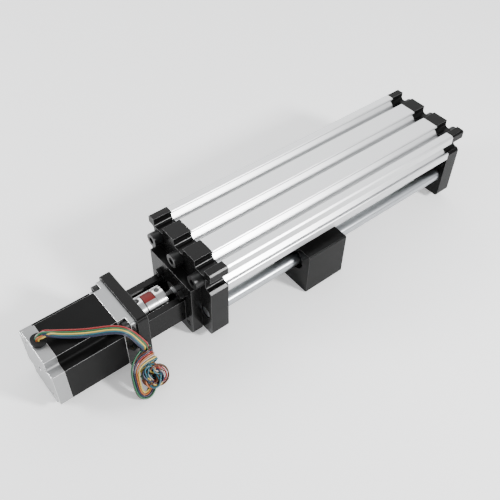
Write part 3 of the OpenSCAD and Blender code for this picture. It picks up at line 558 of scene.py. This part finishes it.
def middle_way():
    """The leads' middle from the grommet through the hank: place, direction across, how flat."""
    middles = [(Vector(p), Vector(side), wide) for p, side, wide in WAY]
    for u, v, w, wide, degrees in HANK:
        angle = math.radians(degrees)
        side = hank_point(math.cos(angle), math.sin(angle), 0) - HANK_AT
        middles.append((hank_point(u, v, w), side, wide))
    return middles


def loose_rest(k):
    """One lead's points inside the hank."""
    slant = OVAL_SLANT + OVAL_SLANT_STEP * k
    turn, slant = math.radians(90 - slant), math.radians(slant)
    points = []
    for j in range(OVAL_POINTS):
        along, across = OVAL_LONG * math.cos(turn), OVAL_SHORT * math.sin(turn)
        u = OVAL_MIDDLE[0] + along * math.cos(slant) - across * math.sin(slant)
        v = along * math.sin(slant) + across * math.cos(slant)
        w = OVAL_MIDDLE[2] + OVAL_RISE * k - OVAL_SINK * j + OVAL_WAVE * math.sin(turn * 2 + k)
        points.append(hank_point(u, OVAL_MIDDLE[1] + OVAL_STRETCH * v, w))
        turn += math.radians(OVAL_TURN)
    return points


def lead_route(k):
    """One lead's way before it settles, from inside the grommet."""
    across, level, place = LEADS[k][2:]
    packed = (0, 0)
    if k < ROUND_LEADS:
        spot = 2 * math.pi * k / ROUND_LEADS
        packed = (GROMMET_R * math.cos(spot), GROMMET_R * math.sin(spot))
    odd = (-1) ** place
    flat = ((ROUND_LEADS / 2 - place) * FLAT_PITCH, FLAT_WAVE * odd)
    thick = (((PAIRS - 1) / 2 - place // 2) * PAIR_PITCH, PAIR_HALF * odd)
    middles = middle_way()
    points = []
    for i, (p, side, wide) in enumerate(middles):
        way = (middles[min(i + 1, len(middles) - 1)][0] - middles[max(i - 1, 0)][0]).normalized()
        side = (side - way * side.dot(way)).normalized()
        up = way.cross(side)
        if i >= len(WAY):
            u = thick[0] * (1 - wide) + flat[0] * wide
            v = thick[1] * (1 - wide) + flat[1] * wide
        else:
            opened = smooth(wide / OPEN_AT)
            u = packed[0] * (1 - opened) + across * wide * opened
            v = packed[1] * (1 - opened) + level * opened
        points.append(p + side * u + up * v)
    points += loose_rest(k)
    return spaced(spline(points, ROUTE_STEP), LEAD_STEP, round(LEAD_LEN / LEAD_STEP) + 1)


def part_leads(routes):
    """Move leads apart where they run into each other, each by half."""
    spots = [(k, i) for k, route in enumerate(routes) for i in range(len(route))]
    tree = kdtree.KDTree(len(spots))
    for n, (k, i) in enumerate(spots):
        tree.insert(routes[k][i], n)
    tree.balance()
    for k, i in spots:
        p = routes[k][i]
        push = Vector()
        for q, n, distance in tree.find_range(p, LEAD_GAP):
            other, j = spots[n]
            if (other == k and abs(j - i) < OWN_POINTS) or distance < SAME_PLACE:
                continue
            push += (p - q) / distance * (LEAD_GAP - distance) * 0.5
        if i >= HELD:
            routes[k][i] = p + push


def ease_bends(route):
    """Smooth a lead, and open the bends that are tighter than BEND_R."""
    last = len(route) - 1
    for i in range(max(BEND_REACHES), last):
        if i >= HELD:
            route[i] = route[i].lerp((route[i - 1] + route[i + 1]) / 2, SMOOTHING)
        for reach in BEND_REACHES:
            if i + reach > last:
                continue
            chord = route[i + reach] - route[i - reach]
            short = 2 * BEND_R * math.sin(reach * LEAD_STEP / BEND_R) - chord.length
            if short > 0:
                push = chord.normalized() * short * 0.5
                if i - reach >= HELD:
                    route[i - reach] -= push
                route[i + reach] += push


def keep_length(route):
    """Bring a lead's points back to one step apart."""
    for i in range(HELD, len(route)):
        step = route[i] - route[i - 1]
        miss = step * (1 - LEAD_STEP / step.length)
        if i > HELD:
            route[i - 1] += miss * 0.5
            route[i] -= miss * 0.5
        else:
            route[i] -= miss


def keep_clear(route):
    """Bring a lead's points above the floor and out of the walls, by the shortest way."""
    for p in route[HELD:]:
        p.z = max(p.z, FLOOR_MM + FLOOR_AIR)
        for low, high in WALLS:
            inside = [min(p[a] - low[a] + WALL_AIR, high[a] + WALL_AIR - p[a]) for a in range(3)]
            if min(inside) > 0:
                a = inside.index(min(inside))
                nearer_low = p[a] - low[a] < high[a] - p[a]
                p[a] = low[a] - WALL_AIR if nearer_low else high[a] + WALL_AIR


def settle(routes):
    """Leads moved apart where they run into each other, the floor or the parts beside them."""
    for _ in range(SETTLE_ROUNDS):
        part_leads(routes)
        for route in routes:
            ease_bends(route)
            keep_length(route)
            keep_clear(route)
    return routes


def lead_look(name, color):
    look = Look(name)
    cloud = look.noise(size=5, detail=2)
    fine = look.noise(size=0.8, detail=2, seed=1)
    return look.finish({
        "Base Color": look.mix(cloud, *(paint(color, share) for share in LEAD_SHADES)),
        "Roughness": cloud.between(0.26, 0.42),
        "Normal": look.bump(0.02 * fine),
    })


def tube(name, points, diameter, material):
    """A curve piece with a round section through points in millimetres."""
    curve = bpy.data.curves.new(name, "CURVE")
    curve.dimensions = "3D"
    curve.bevel_depth = diameter / 2 * MM
    curve.bevel_resolution = 3
    curve.use_fill_caps = True
    line = curve.splines.new("POLY")
    line.points.add(len(points) - 1)
    for point, p in zip(line.points, points):
        point.co = (*at(*p), 1)
    line.use_smooth = True
    curve.materials.append(material)
    return add_object(name, curve)


def add_leads():
    strand = turned_metal("tinned_copper", paint((0.45, 0.42, 0.38)), paint((0.62, 0.58, 0.52)),
                          0.35)
    routes = settle([lead_route(k) for k in range(len(LEADS))])
    for (name, color, *_), route in zip(LEADS, routes):
        insulated = tube("lead_" + name, route, LEAD_D, lead_look("lead_" + name, color))
        end, way = route[-1], (route[-1] - route[-2]).normalized()
        bare = [end - way * TIP_COVERED, end + way * TIP_LEN]
        tip = tube("lead_tip_" + name, bare, TIP_D, strand)
        for piece in (insulated, tip):
            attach(piece, "frame")
        at(*WAY[0][0])
    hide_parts("lead_bundle", "lead_hank")


add_leads()

# ---------- stage ----------

FLOOR_HALF = 4
FLOOR_DROP = 0.0003
FLOOR_GLOW = 0.35
SKY_COLOR = (0.96, 0.98, 1)
SKY_STRENGTH = 0.7
# Name, place, the point that it shines at, size and power
LIGHTS = [
    ("key", (0.40, -0.92, 0.72), (-0.06, 0, 0.04), (0.18, 0.18), 23),
    ("top", (0.62, 0.78, 1.15), (0, 0, 0), (1.5, 1.3), 14),
    ("rim", (-1.05, 0.70, 0.56), (-0.08, 0, 0.04), (0.45, 0.4), 19),
]


def add_floor():
    look = Look("floor")
    mesh = bpy.data.meshes.new("floor")
    corners = [(x * FLOOR_HALF, y * FLOOR_HALF, 0) for x, y in ((-1, -1), (1, -1), (1, 1), (-1, 1))]
    mesh.from_pydata(corners, [], [(0, 1, 2, 3)])
    mesh.materials.append(look.finish({
        "Base Color": look.mix(look.noise(size=400, detail=1), tone(0.93), tone(0.95)),
        "Roughness": 0.9,
        "Emission Color": tone(1),
        "Emission Strength": FLOOR_GLOW,
    }))
    floor = add_object("floor", mesh)
    floor.location.z = -FLOOR_DROP


def add_sky():
    world = bpy.data.worlds.new("studio")
    bpy.context.scene.world = world
    world.use_nodes = True
    background = world.node_tree.nodes["Background"]
    background.inputs["Color"].default_value = paint(SKY_COLOR)
    background.inputs["Strength"].default_value = SKY_STRENGTH


def add_light(name, place, aim, size, power):
    light = add_object(name, bpy.data.lights.new(name, "AREA"))
    light.data.shape = "RECTANGLE"
    light.data.size, light.data.size_y = size
    light.data.energy = power
    light.location = place
    turn_to(light, Vector(aim) - Vector(place), "-Z")


add_floor()
add_sky()
for light in LIGHTS:
    add_light(*light)
